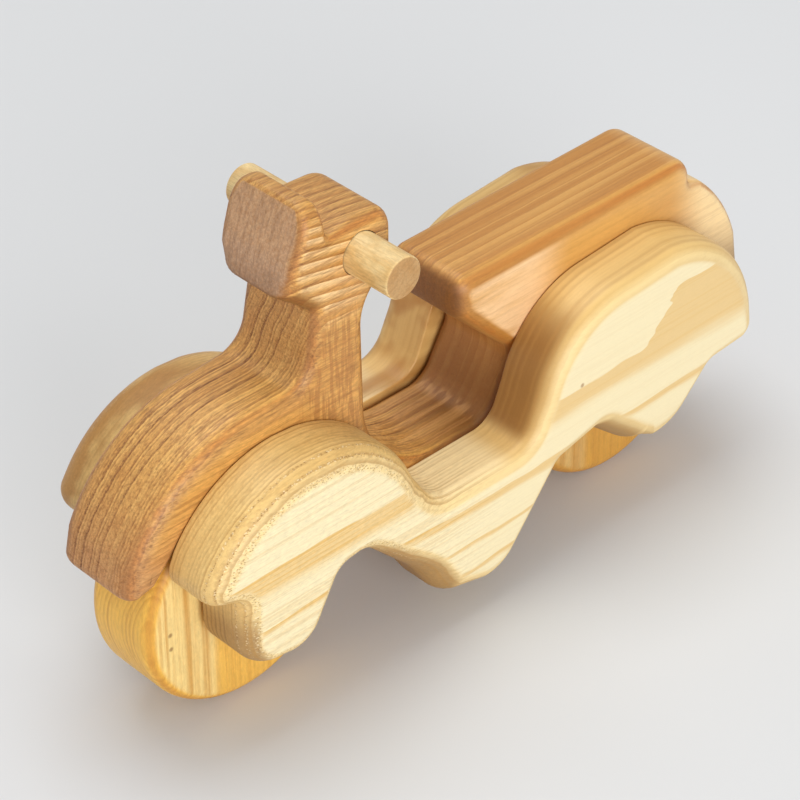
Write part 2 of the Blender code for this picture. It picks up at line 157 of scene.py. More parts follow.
# Bulges of a side panel: centre ahead of its axle and above it, radius
FRONT_BULGE = (-7.8, 9.0, 39.8)
KNEE_BULGE = (18.3, 16.5, 32.6)
REAR_BULGE = (3.3, 9.5, 41.3)
FRONT_CHEEK_ANGLES = (32.0, 90.0)
FRONT_SHOULDER_ANGLES = (100.0, 160.0)
KNEE_ANGLES = (15.0, 88.0)
REAR_SHOULDER_ANGLES = (96.0, 172.0)

# Edge rounding of a side panel and the corner at its front tip
PANEL_INNER_EDGE = 0.6
PANEL_FRONT_EDGE = 8.0
PANEL_SHOULDER_EDGE = 8.0
PANEL_TOP_EDGE = 6.0
PANEL_REAR_EDGE = 7.0
PANEL_TIP_ANGLE = 17.5
PANEL_TIP_CORNER = 6.0
PANEL_TIP_EDGE = 7.0

# Corners of a side panel: ahead of its axle, above it, corner radius, edge rounding
PANEL_NOTCH = (17.7, 16.6, 3.0, 6.5)
FRONT_ARCH_FRONT = (-15.8, 11.0, 6.0, 4.0)
FRONT_ARCH_BACK = (-26.0, 11.0, 10.0, 5.0)
PANEL_HEEL = (-37.4, 4.6, 6.0, 5.5)
REAR_LOBE_NOTCH = (-18.5, 4.6, 5.0, 4.0)
REAR_ARCH_BACK = (26.8, 2.3, 3.0, 9.5)
REAR_ARCH_FRONT = (43.5, 2.3, 4.0, 4.0)

# Corners of a side panel on a level: ahead of its axle, corner radius, edge rounding
PANEL_FLOOR_FRONT = (-49.8, 11.0, 5.0)
PANEL_FLOOR_BACK = (54.8, 9.0, 5.0)
FRONT_LOBE_FRONT = (17.7, 12.0, 6.0)
FRONT_LOBE_BACK = (-5.2, 11.0, 4.0)
REAR_LOBE_FRONT = (10.8, 11.0, 9.5)
REAR_LOBE_BACK = (-2.8, 15.0, 4.0)

# Middle lobe of a side panel: ahead of the wheelbase's middle, above the axles, corner radius, edge rounding
MIDDLE_LOBE_BACK = (-5.4, -24.6, 13.0, 4.0)
MIDDLE_LOBE_FRONT = (14.7, -24.6, 12.0, 9.0)
MIDDLE_LOBE_SHIN = (23.8, -10.6, 30.0, 9.5)

# Smoothness of the boards
ARC_STEP_ANGLE = 2.5
EDGE_STEPS = 10
FACE_MARGIN = 0.2
SMOOTH_ANGLE = 40.0
LEAST_CORNER = 0.05

# Smoothness of the turned pieces
SHOULDER_STEPS = 14
WHEEL_STEPS = 180
DOWEL_STEPS = 96
DOWEL_STATIONS = 73
MERGE_DISTANCE = 0.001

# Camera, on the photograph's line of sight
CAMERA_PLACE = (462.23, 481.31, 547.70)
CAMERA_AZIMUTH = 46.648
CAMERA_ELEVATION = 36.655
CAMERA_ROLL = -0.389
CAMERA_LENS = 136.143
SENSOR_WIDTH = 36.0

# Paper floor, lamps and sky, with the lamps' power in watts
PAPER_COLOUR = (0.733, 0.743, 0.753, 1.0)
PAPER_ROUGHNESS = 0.9
PAPER_SHINE = 0.1
PAPER_HALF_WIDTH = 4000.0
TOP_LAMP_PLACE = (-100.0, -350.0, 1600.0)
TOP_LAMP_SIZE = 1200.0
TOP_LAMP_POWER = 12.6
RIGHT_LAMP_PLACE = (600.0, 1400.0, 500.0)
RIGHT_LAMP_SIZE = 900.0
RIGHT_LAMP_POWER = 14.9
SKY_COLOUR = (1.0, 1.0, 1.0, 1.0)
SKY_STRENGTH = 0.5


# Outlines of the boards

def corner(origin, point):
    """Outline corner placed from its origin."""
    ahead, up, radius, edge = point
    return (origin[0] + ahead, origin[1] + up, radius, edge)


def level_corner(origin, height, point):
    """Outline corner placed ahead of its origin on a level."""
    ahead, radius, edge = point
    return (origin[0] + ahead, height, radius, edge)


def on_circle(centre, radius, angle):
    """Place on a circle, its angle counted up from straight ahead."""
    turn = math.radians(angle)
    return (centre[0] + radius * math.cos(turn), centre[1] + radius * math.sin(turn))


def arc(centre, radius, span, first_edge, last_edge):
    """Outline points along an arc, with the edge rounding changing evenly on the way."""
    start, end = span
    count = max(2, math.ceil(abs(end - start) / ARC_STEP_ANGLE))
    points = []
    for step in range(count + 1):
        share = step / count
        place = on_circle(centre, radius, start + (end - start) * share)
        points.append((*place, 0.0, first_edge + (last_edge - first_edge) * share))
    return points


def bulge(axle, circle, span, first_edge, last_edge):
    """Arc of one of the bulges of a side panel."""
    ahead, up, radius = circle
    return arc((axle[0] + ahead, axle[1] + up), radius, span, first_edge, last_edge)


def fender_outline():
    """Fender from its tip back to the column."""
    tip = on_circle(FENDER_CENTRE, FENDER_RADIUS, FENDER_TIP_ANGLE)
    top = FENDER_CENTRE[1] + FENDER_RADIUS
    span = (FENDER_TIP_ANGLE + TIP_LEAD_ANGLE, 90.0)
    return [
        (*tip, FENDER_TIP_CORNER, FENDER_TIP_EDGE),
        *arc(FENDER_CENTRE, FENDER_RADIUS, span, FENDER_EDGE, FENDER_EDGE),
        level_corner(HANDLEBAR_AXIS, top, COLUMN_FOOT_FRONT),
    ]


def head_outline():
    """Up the front of the column, over the head and down to the floor."""
    corners = (PLATE_NECK, PLATE_CHIN, PLATE_FACE, PLATE_BROW, PLATE_CROWN, HEAD_VALLEY)
    corners += (HEAD_HUMP, HEAD_BACK, HEAD_HEEL, COLUMN_WAIST)
    points = [corner(HANDLEBAR_AXIS, point) for point in corners]
    return points + [level_corner(HANDLEBAR_AXIS, FLOOR, COLUMN_FOOT_BACK)]


def seat_outline():
    """From the floor up around the seat and down over the tail to its tip."""
    step_height = SEAT_TOP - SEAT_STEP
    rise = step_height - TAIL_CENTRE[1]
    step_angle = 180.0 - math.degrees(math.asin(rise / TAIL_RADIUS))
    seat_back = on_circle(TAIL_CENTRE, TAIL_RADIUS, step_angle)[0] + SEAT_BACK_LEDGE
    span = (step_angle + SEAT_BACK_LEAD_ANGLE, TAIL_TIP_ANGLE - TIP_LEAD_ANGLE)
    tip = on_circle(TAIL_CENTRE, TAIL_RADIUS, TAIL_TIP_ANGLE)
    return [
        level_corner(REAR_AXLE, FLOOR, BODY_FOOT),
        corner(SEAT_ORIGIN, SEAT_THROAT),
        corner(SEAT_ORIGIN, SEAT_BEAK),
        level_corner(REAR_AXLE, SEAT_TOP, SEAT_NOSE),
        (seat_back, SEAT_TOP, SEAT_BACK_CORNER, SEAT_BACK_EDGE),
        (seat_back, step_height, SEAT_BACK_FILLET, SEAT_BACK_EDGE),
        *arc(TAIL_CENTRE, TAIL_RADIUS, span, TAIL_EDGE, TAIL_EDGE),
        (*tip, TAIL_TIP_CORNER, TAIL_EDGE),
    ]


def underside_outline():
    """Rear wheel arch, the short underside and the front wheel arch."""
    below = math.degrees(math.asin(UNDERSIDE_DROP / ARCH_RADIUS))
    rear_span = (TAIL_ARCH_ANGLE, -below)
    front_span = (180.0 + below, FENDER_ARCH_ANGLE)
    rear_arch = arc(REAR_AXLE, ARCH_RADIUS, rear_span, ARCH_EDGE, ARCH_EDGE)
    front_arch = arc(FRONT_AXLE, ARCH_RADIUS, front_span, ARCH_EDGE, FENDER_ARCH_EDGE)
    tip_room = math.ceil(TIP_LEAD_ANGLE / ARC_STEP_ANGLE)
    rear_points = rear_arch[:1] + rear_arch[ARCH_END_ROOM:-ARCH_END_ROOM] + rear_arch[-1:]
    front_points = front_arch[:1] + front_arch[ARCH_END_ROOM:-tip_room] + front_arch[-1:]
    return rear_points + front_points


def centre_board_outline():
    """Whole outline of the centre board, anticlockwise from the fender's tip."""
    return fender_outline() + head_outline() + seat_outline() + underside_outline()


def panel_top_outline():
    """Front bulge, the dip between the bulges and the knee and rear bulges."""
    bulge_centre = (FRONT_AXLE[0] + FRONT_BULGE[0], FRONT_AXLE[1] + FRONT_BULGE[1])
    tip = on_circle(bulge_centre, FRONT_BULGE[2], PANEL_TIP_ANGLE)
    return [
        (*tip, PANEL_TIP_CORNER, PANEL_TIP_EDGE),
        *bulge(FRONT_AXLE, FRONT_BULGE, FRONT_CHEEK_ANGLES, PANEL_FRONT_EDGE, PANEL_SHOULDER_EDGE),
        *bulge(FRONT_AXLE, FRONT_BULGE, FRONT_SHOULDER_ANGLES, PANEL_SHOULDER_EDGE, PANEL_SHOULDER_EDGE),
        level_corner(FRONT_AXLE, PANEL_FLOOR, PANEL_FLOOR_FRONT),
        level_corner(REAR_AXLE, PANEL_FLOOR, PANEL_FLOOR_BACK),
        *bulge(REAR_AXLE, KNEE_BULGE, KNEE_ANGLES, PANEL_TOP_EDGE, PANEL_TOP_EDGE),
        *bulge(REAR_AXLE, REAR_BULGE, REAR_SHOULDER_ANGLES, PANEL_TOP_EDGE, PANEL_REAR_EDGE),
    ]


def panel_foot_outline():
    """Rear, middle and front lobes with the arches between them."""
    return [
        corner(REAR_AXLE, PANEL_HEEL),
        corner(REAR_AXLE, REAR_LOBE_NOTCH),
        level_corner(REAR_AXLE, REAR_LOBE_FOOT, REAR_LOBE_BACK),
        level_corner(REAR_AXLE, REAR_LOBE_FOOT, REAR_LOBE_FRONT),
        corner(REAR_AXLE, REAR_ARCH_BACK),
        corner(REAR_AXLE, REAR_ARCH_FRONT),
        corner(MIDDLE, MIDDLE_LOBE_BACK),
        corner(MIDDLE, MIDDLE_LOBE_FRONT),
        corner(MIDDLE, MIDDLE_LOBE_SHIN),
        corner(FRONT_AXLE, FRONT_ARCH_BACK),
        corner(FRONT_AXLE, FRONT_ARCH_FRONT),
        level_corner(FRONT_AXLE, FRONT_LOBE_FOOT, FRONT_LOBE_BACK),
        level_corner(FRONT_AXLE, FRONT_LOBE_FOOT, FRONT_LOBE_FRONT),
        corner(FRONT_AXLE, PANEL_NOTCH),
    ]


def side_panel_outline():
    """Whole outline of a side panel, anticlockwise from the front bulge's tip."""
    return panel_top_outline() + panel_foot_outline()


# Boards from outlines

def left_of(direction):
    """Direction turned a quarter turn to the left, which is into an anticlockwise outline."""
    return Vector((-direction.y, direction.x))


def steps_at(points, index):
    """Steps in which an outline comes to a point and leaves it, and the turn between them."""
    here = Vector(points[index][:2])
    coming = here - Vector(points[index - 1][:2])
    leaving = Vector(points[(index + 1) % len(points)][:2]) - here
    turn = math.atan2(coming.cross(leaving), coming.dot(leaving))
    return coming, leaving, turn


def inset(points, share, margin):
    """Outline moved inward by a share of the edge rounding at each point and a margin."""
    moved = []
    for index, (x, z, radius, edge) in enumerate(points):
        coming, leaving, turn = steps_at(points, index)
        side = left_of(coming.normalized())
        inward = (side + left_of(leaving.normalized())).normalized()
        depth = edge * share + margin
        place = Vector((x, z)) + inward * (depth / inward.dot(side))
        if radius:
            radius = max(radius - depth, LEAST_CORNER) if turn > 0 else radius + depth
        moved.append((place.x, place.y, radius, edge))
    return moved


def corner_counts(points):
    """Number of arc steps at each corner of an outline, none at a point without a radius."""
    counts = []
    for index, point in enumerate(points):
        turn = math.degrees(abs(steps_at(points, index)[2]))
        counts.append(max(2, math.ceil(turn / ARC_STEP_ANGLE)) if point[2] else 0)
    return counts


def corner_arc(points, index, count):
    """Places along the arc of a corner, made smaller where its neighbours leave less room."""
    coming, leaving, turn = steps_at(points, index)
    radius = points[index][2]
    before = points[index - 1][2]
    after = points[(index + 1) % len(points)][2]
    room = radius * min(coming.length / (radius + before), leaving.length / (radius + after))
    slope = math.tan(abs(turn) / 2)
    reach = min(radius * slope, room)
    start = Vector(points[index][:2]) - coming.normalized() * reach
    spoke = left_of(coming.normalized()) * math.copysign(reach / slope, turn)
    return [start + spoke - Matrix.Rotation(turn * step / count, 2) @ spoke for step in range(count + 1)]


def rounded(points, counts):
    """Places along an outline with arcs in place of its corners, each with its edge rounding."""
    places = []
    for index, (x, z, radius, edge) in enumerate(points):
        if radius:
            places += [(place, edge) for place in corner_arc(points, index, counts[index])]
        else:
            places.append((Vector((x, z)), edge))
    return places


def edge_rings(points, face, outward):
    """Rings around a rounded-over edge, from the rim of a board to just inside its flat face."""
    counts = corner_counts(points)
    swings = [90.0 * step / EDGE_STEPS for step in range(EDGE_STEPS + 1)]
    rings = []
    for swing, margin in [(swing, 0.0) for swing in swings] + [(90.0, FACE_MARGIN)]:
        across = 1.0 - math.cos(math.radians(swing))
        below = 1.0 - math.sin(math.radians(swing))
        ring = []
        for place, edge in rounded(inset(points, across, margin), counts):
            ring.append((place.x, face - outward * edge * below, place.y))
        rings.append(ring)
    return rings


def skin(rings):
    """Mesh through rings of equal length, with a flat cap at each end."""
    builder = bmesh.new()
    loops = [[builder.verts.new(Vector(place) * MILLIMETRE) for place in ring] for ring in rings]
    for first, second in zip(loops, loops[1:]):
        for index in range(len(first)):
            builder.faces.new((first[index - 1], second[index - 1], second[index], first[index]))
    builder.faces.new(loops[0])
    builder.faces.new(reversed(loops[-1]))
    bmesh.ops.recalc_face_normals(builder, faces=builder.faces)
    return builder


def round_crown(builder):
    """Round the top corners of the headlight plate as seen from the front."""
    spring = PLATE_TOP - CROWN_RISE
    for step in range(CROWN_STEPS):
        height = spring + CROWN_RISE * math.sin(math.radians(90.0 * step / CROWN_STEPS))
        whole = builder.verts[:] + builder.edges[:] + builder.faces[:]
        level = (0.0, 0.0, height * MILLIMETRE)
        bmesh.ops.bisect_plane(builder, geom=whole, plane_co=level, plane_no=(0.0, 0.0, 1.0))
    for vertex in builder.verts:
        share = (vertex.co.z / MILLIMETRE - spring) / CROWN_RISE
        if share > 0.0:
            fall = CROWN_FALL * (1.0 - math.sqrt(max(1.0 - share ** 2, 0.0)))
            vertex.co.y *= 1.0 - fall / CENTRE_FACE


def new_object(name, mesh):
    """Object at the origin that shows a mesh."""
    made = bpy.data.objects.new(name, mesh)
    bpy.context.scene.collection.objects.link(made)
    return made


def finished_mesh(name, builder):
    """Smoothly shaded mesh from a builder, which is freed."""
    bmesh.ops.triangulate(builder, faces=[face for face in builder.faces if len(face.verts) > 4])
    mesh = bpy.data.meshes.new(name)
    builder.to_mesh(mesh)
    builder.free()
    mesh.shade_smooth()
    mesh.set_sharp_from_angle(angle=math.radians(SMOOTH_ANGLE))
    return mesh


def evaluated_mesh(name, item):
    """Plain mesh of an object as its modifiers leave it."""
    graph = bpy.context.evaluated_depsgraph_get()
    mesh = bpy.data.meshes.new_from_object(item.evaluated_get(graph))
    mesh.name = name
    return mesh


def dress(name, mesh, node, body, finish):
    """Piece that shows in place of a node and moves with its body."""
    mesh.materials.clear()
    mesh.materials.append(finish)
    piece = new_object(name, mesh)
    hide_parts(node)
    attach(piece, body)
    return piece


def centre_board_mesh():
    """Board with fender, column, head, floor, seat and tail, bored for the handlebar."""
    points = centre_board_outline()
    rings = edge_rings(points, -CENTRE_FACE, -1)[::-1] + edge_rings(points, CENTRE_FACE, 1)
    builder = skin(rings)
    round_crown(builder)
    board = new_object("board_blank", finished_mesh("board_blank", builder))
    drill_mesh = turned_dowel_mesh(HANDLEBAR_RADIUS + HOLE_GAP, HANDLEBAR_LENGTH, HANDLEBAR_AXIS)
    drill = new_object("handlebar_drill", drill_mesh)
    hole = board.modifiers.new("handlebar_hole", "BOOLEAN")
    hole.operation = "DIFFERENCE"
    hole.solver = "EXACT"
    hole.object = drill
    mesh = evaluated_mesh("centre_board", board)
    mesh.set_sharp_from_angle(angle=math.radians(SMOOTH_ANGLE))
    bpy.data.objects.remove(board, do_unlink=True)
    bpy.data.objects.remove(drill, do_unlink=True)
    return mesh


def side_panel_mesh(side):
    """Panel with a well rounded outer edge and a nearly square inner one."""
    points = side_panel_outline()
    inner_points = [(x, z, radius, PANEL_INNER_EDGE) for x, z, radius, edge in points]
    inner_rings = edge_rings(inner_points, side * PANEL_INNER_FACE, -side)
    outer_rings = edge_rings(points, side * PANEL_OUTER_FACE, side)
    return finished_mesh("side_panel", skin(inner_rings[::-1] + outer_rings))


# Turned pieces, made by geometry nodes

def add_node(tree, kind, inputs, **settings):
    """Node with its settings made and its inputs set to values or linked to other nodes."""
    made = tree.nodes.new(kind)
    for name, value in settings.items():
        setattr(made, name, value)
    for name, value in inputs.items():
        if isinstance(value, bpy.types.NodeSocket):
            tree.links.new(value, made.inputs[name])
        else:
            made.inputs[name].default_value = value
    return made


def turning_tree(name, sizes):
    """Empty geometry tree with named sizes, the place of the axis and one output."""
    tree = bpy.data.node_groups.new(name, "GeometryNodeTree")
    tree.interface.new_socket("Geometry", in_out="OUTPUT", socket_type="NodeSocketGeometry")
    for size in sizes:
        tree.interface.new_socket(size, in_out="INPUT", socket_type="NodeSocketFloat")
    tree.interface.new_socket("Axis", in_out="INPUT", socket_type="NodeSocketVector")
    tree.interface.new_socket("Wood", in_out="INPUT", socket_type="NodeSocketMaterial")
    return tree, tree.nodes.new("NodeGroupInput").outputs


def number(tree, operation, *values):
    """Output of a math node."""
    inputs = dict(enumerate(values))
    return add_node(tree, "ShaderNodeMath", inputs, operation=operation).outputs[0]


def point_place(tree):
    """X, Y and Z of a shape's points."""
    place = tree.nodes.new("GeometryNodeInputPosition")
    return add_node(tree, "ShaderNodeSeparateXYZ", {0: place.outputs[0]}).outputs


def end_turning(tree, given, shape):
    """Move a turned shape to its axis, give it its wood and end the tree."""
    smooth = add_node(tree, "GeometryNodeSetShadeSmooth", {"Geometry": shape})
    placing = {"Geometry": smooth.outputs[0], "Translation": given["Axis"]}
    moved = add_node(tree, "GeometryNodeTransform", placing)
    real = add_node(tree, "GeometryNodeRealizeInstances", {"Geometry": moved.outputs[0]})
    coating = {"Geometry": real.outputs[0], "Material": given["Wood"]}
    wooden = add_node(tree, "GeometryNodeSetMaterial", coating)
    add_node(tree, "NodeGroupOutput", {"Geometry": wooden.outputs[0]})
    return tree


def wheel_tree():
    """Ring with rounded outer shoulders and a chamfered bore, turned about Y."""
    tree, given = turning_tree("turned_wheel", ("Radius", "Width", "Bore", "Shoulder", "Chamfer"))
    depth = number(tree, "SUBTRACT", given["Radius"], given["Bore"])
    middle = number(tree, "MULTIPLY", number(tree, "ADD", given["Radius"], given["Bore"]), 0.5)
    section_size = {"Width": depth, "Height": given["Width"]}
    section = add_node(tree, "GeometryNodeCurvePrimitiveQuadrilateral", section_size)
    outer = number(tree, "GREATER_THAN", point_place(tree)["X"], 0.0)
    rounding = add_node(tree, "ShaderNodeMix", {0: outer, 2: given["Chamfer"], 3: given["Shoulder"]})
    fillet_inputs = {"Curve": section.outputs[0], "Count": SHOULDER_STEPS, "Radius": rounding.outputs[0]}
    fillet = add_node(tree, "GeometryNodeFilletCurve", fillet_inputs, mode="POLY")
    circle_size = {"Resolution": WHEEL_STEPS, "Radius": middle}
    circle = add_node(tree, "GeometryNodeCurvePrimitiveCircle", circle_size)
    swept = {"Curve": circle.outputs["Curve"], "Profile Curve": fillet.outputs[0]}
    ring = add_node(tree, "GeometryNodeCurveToMesh", swept)
    upright = add_node(tree, "GeometryNodeTransform", {"Geometry": ring.outputs[0]})
    upright.inputs["Rotation"].default_value = (math.radians(90.0), 0.0, 0.0)
    return end_turning(tree, given, upright.outputs[0])


def dowel_tree():
    """Straight dowel along Y with rounded ends."""
    tree, given = turning_tree("turned_dowel", ("Radius", "Length", "Rounding"))
    half = number(tree, "MULTIPLY", given["Length"], 0.5)
    line = add_node(tree, "GeometryNodeCurvePrimitiveLine", {"Start": (0, -1, 0), "End": (0, 1, 0)})
    dense = add_node(tree, "GeometryNodeResampleCurve", {"Curve": line.outputs[0], "Count": DOWEL_STATIONS})
    share = tree.nodes.new("GeometryNodeSplineParameter").outputs["Factor"]
    swing = number(tree, "SINE", number(tree, "MULTIPLY", number(tree, "SUBTRACT", share, 0.5), math.pi))
    along = add_node(tree, "ShaderNodeCombineXYZ", {"Y": number(tree, "MULTIPLY", swing, half)})
    spacing = {"Geometry": dense.outputs[0], "Position": along.outputs[0]}
    spread = add_node(tree, "GeometryNodeSetPosition", spacing)
    inside = number(tree, "SUBTRACT", half, number(tree, "ABSOLUTE", point_place(tree)["Y"]))
    short = number(tree, "MAXIMUM", number(tree, "SUBTRACT", given["Rounding"], inside), 0.0)
    square = number(tree, "MULTIPLY", given["Rounding"], given["Rounding"])
    room = number(tree, "SQRT", number(tree, "SUBTRACT", square, number(tree, "MULTIPLY", short, short)))
    core = number(tree, "SUBTRACT", given["Radius"], given["Rounding"])
    section_size = {"Resolution": DOWEL_STEPS, "Radius": 1.0}
    section = add_node(tree, "GeometryNodeCurvePrimitiveCircle", section_size)
    swept = {"Curve": spread.outputs[0], "Profile Curve": section.outputs["Curve"], "Fill Caps": True}
    swept["Scale"] = number(tree, "ADD", core, room)
    shape = add_node(tree, "GeometryNodeCurveToMesh", swept)
    return end_turning(tree, given, shape.outputs[0])


def turned_mesh(name, tree, sizes, axis):
    """Plain mesh of a turned piece with its sizes set and its axis along Y at a place."""
    blank = new_object(name + "_blank", bpy.data.meshes.new(name + "_blank"))
    turning = blank.modifiers.new("turning", "NODES")
    turning.node_group = tree
    values = {size: value * MILLIMETRE for size, value in sizes.items()}
    values["Axis"] = (axis[0] * MILLIMETRE, 0.0, axis[1] * MILLIMETRE)
    for socket in tree.interface.items_tree:
        if socket.in_out == "INPUT" and socket.name in values:
            turning[socket.identifier] = values[socket.name]
    mesh = evaluated_mesh(name, blank)
    bpy.data.objects.remove(blank, do_unlink=True)
    builder = bmesh.new()
    builder.from_mesh(mesh)
    bmesh.ops.remove_doubles(builder, verts=builder.verts, dist=MERGE_DISTANCE * MILLIMETRE)
    bmesh.ops.recalc_face_normals(builder, faces=builder.faces)
    return finished_mesh(name, builder)


def turned_dowel_mesh(radius, length, axis):
    """Dowel with its ends slightly rounded."""
    sizes = {"Radius": radius, "Length": length, "Rounding": DOWEL_ROUNDING}
    return turned_mesh("dowel", dowel_shape, sizes, axis)


def turned_wheel_mesh(axis):
    """Wheel with rounded shoulders and a bore."""
    sizes = {"Radius": WHEEL_RADIUS, "Width": WHEEL_WIDTH, "Bore": AXLE_RADIUS + BORE_CLEARANCE}
    sizes["Shoulder"] = WHEEL_SHOULDER
    sizes["Chamfer"] = BORE_CHAMFER
    return turned_mesh("wheel", wheel_shape, sizes, axis)


# Wood finishes

class Finish:
    """Material under construction, with short calls for the nodes that a wood needs."""

    def __init__(self, name):
        self.material = bpy.data.materials.new(name)
        self.material.use_nodes = True
        self.tree = self.material.node_tree
        self.shader = self.tree.nodes["Principled BSDF"]
        given = self.node("ShaderNodeTexCoord", {})
        self.place = self.vector("SCALE", given.outputs["Object"], Scale=1.0 / MILLIMETRE)
        self.along, self.across, self.up = self.parts(self.place)
        self.facing = self.parts(given.outputs["Normal"])

    def node(self, kind, inputs, **settings):
        """Node of the material."""
        return add_node(self.tree, kind, inputs, **settings)

    def parts(self, vector):
        """X, Y and Z of a vector."""
        return self.node("ShaderNodeSeparateXYZ", {0: vector}).outputs[:]

    def vector(self, operation, first, second=(0.0, 0.0, 0.0), **others):
        """Vector from two vectors."""
        inputs = {0: first, 1: second, **others}
        return self.node("ShaderNodeVectorMath", inputs, operation=operation).outputs[0]

    def maths(self, operation, *values):
        """Number from numbers."""
        return number(self.tree, operation, *values)

    def weighed(self, base, *terms):
        """Base plus each value times its weight."""
        total = base
        for value, weight in terms:
            total = self.maths("MULTIPLY_ADD", value, weight, total)
        return total

    def product(self, first, *others):
        """Product of numbers."""
        for other in others:
            first = self.maths("MULTIPLY", first, other)
        return first

    def rest(self, share):
        """What a share leaves of one."""
        return self.maths("SUBTRACT", 1.0, share)

    def stretch(self, value, start, full, fade, end):
        """Share that rises from 0 to 1 over a stretch of a value and falls back to 0 after it."""
        return self.product(self.between(value, start, full), self.rest(self.between(value, fade, end)))

    def stain(self, colour, target, strength, *shares):
        """Colour moved toward another by a strength times some shares."""
        return self.mix(self.product(strength, *shares), colour, target)

    def between(self, value, low, high):
        """Smooth share from 0 at the low value to 1 at the high one."""
        inputs = {"Value": value, "From Min": low, "From Max": high}
        return self.node("ShaderNodeMapRange", inputs, interpolation_type="SMOOTHSTEP").outputs[0]

    def mix(self, share, first, second, kind="MIX"):
        """Colour between two colours."""
        inputs = {0: share, 6: first, 7: second}
        return self.node("ShaderNodeMix", inputs, data_type="RGBA", blend_type=kind).outputs[2]

    def patch(self, size, shift):
        """Texture inputs with the place counted in patches of a size along X, Y and Z."""
        counted = self.vector("MULTIPLY", self.place, [1.0 / length for length in size])
        return {"Vector": self.vector("ADD", counted, (shift, shift, shift)), "Scale": 1.0}

    def noise(self, size, detail=2.0, roughness=0.5, shift=0.0):
        """Soft noise in patches of a size along X, Y and Z, from 0 to 1."""
        inputs = {**self.patch(size, shift), "Detail": detail, "Roughness": roughness}
        return self.node("ShaderNodeTexNoise", inputs).outputs[0]

    def dashes(self, size, thickness, shift=0.0):
        """Short dashes or dots of a size along X, Y and Z, 1 inside and 0 outside."""
        cells = self.node("ShaderNodeTexVoronoi", self.patch(size, shift))
        return self.rest(self.between(cells.outputs["Distance"], thickness * 0.5, thickness))

    def knot(self, place, radius):
        """Round spot about a place, 1 inside and 0 outside."""
        inputs = {0: self.place, 1: place}
        reach = self.node("ShaderNodeVectorMath", inputs, operation="DISTANCE").outputs["Value"]
        return self.between(reach, radius, radius * 0.3)

    def ring_strength(self, count):
        """Random strength for each growth ring, from 0 to 1."""
        inputs = {"W": self.maths("FLOOR", count)}
        return self.node("ShaderNodeTexWhiteNoise", inputs, noise_dimensions="1D").outputs[0]

    def ring_lines(self, count, start, end, falloff):
        """Darker lines at the growth rings, sharp on one side, each of its own strength."""
        phase = self.maths("FRACT", count)
        line = self.maths("SUBTRACT", self.between(phase, 0.0, start), self.between(phase, start, end))
        return self.maths("MULTIPLY", line, self.maths("POWER", self.ring_strength(count), falloff))

    def shade(self, colour, noise, amount):
        """Colour made lighter and darker by a noise."""
        level = self.weighed(1.0 - amount, (noise, 2.0 * amount))
        return self.vector("SCALE", colour, Scale=level)

    def finish(self, colour, roughness, height, depth):
        """Set the shader and give the material back."""
        self.tree.links.new(colour, self.shader.inputs["Base Color"])
        self.tree.links.new(roughness, self.shader.inputs["Roughness"])
        relief = {"Height": height, "Distance": depth * MILLIMETRE, "Strength": 1.0}
        bump = self.node("ShaderNodeBump", relief)
        self.tree.links.new(bump.outputs[0], self.shader.inputs["Normal"])
        return self.material


def srgb(red, green, blue):
    """Colour of a shader from the values of a picture, 0 to 255."""
    shares = [value / 255.0 for value in (red, green, blue)]
    return (*[((share + 0.055) / 1.055) ** 2.4 for share in shares], 1.0)


# Upper edge, width and share of the flame of each tan growth band on a side panel's outer face
PANEL_BANDS = ((58.5, 9.0, 1.0), (41.2, 3.4, 0.0), (26.8, 1.8, 0.0), (18.0, 2.4, 0.0))
# Place and half width of the brown stripes in a wheel, forward of its axle
WHEEL_STRIPES = ((30.1, 0.5), (28.0, 0.4), (21.2, 1.2), (15.3, 1.4))
# Small knots: one on a panel at a place forward and up, and two on a wheel, placed from its axle
PANEL_KNOT = (-29.4, 58.5)
WHEEL_KNOT_AHEAD = 26.6
WHEEL_KNOT_RISES = (0.7, -4.0)
KNOT_RADIUS = 1.0
# Distance from one growth ring to the next in each wood
CENTRE_RING_STEP = 3.1
CENTRE_FINE_STEP = 1.05
CENTRE_SOFT_STEP = 4.3
PANEL_FINE_STEP = 1.15
PANEL_SOFT_STEP = 2.4
PANEL_DEEP_STEP = 1.7
WHEEL_FINE_STEP = 1.2
DOWEL_RING_STEP = 1.9
# Share of a brown stain over each wheel
FRONT_WHEEL_BROWN = 0.0
REAR_WHEEL_BROWN = 0.5


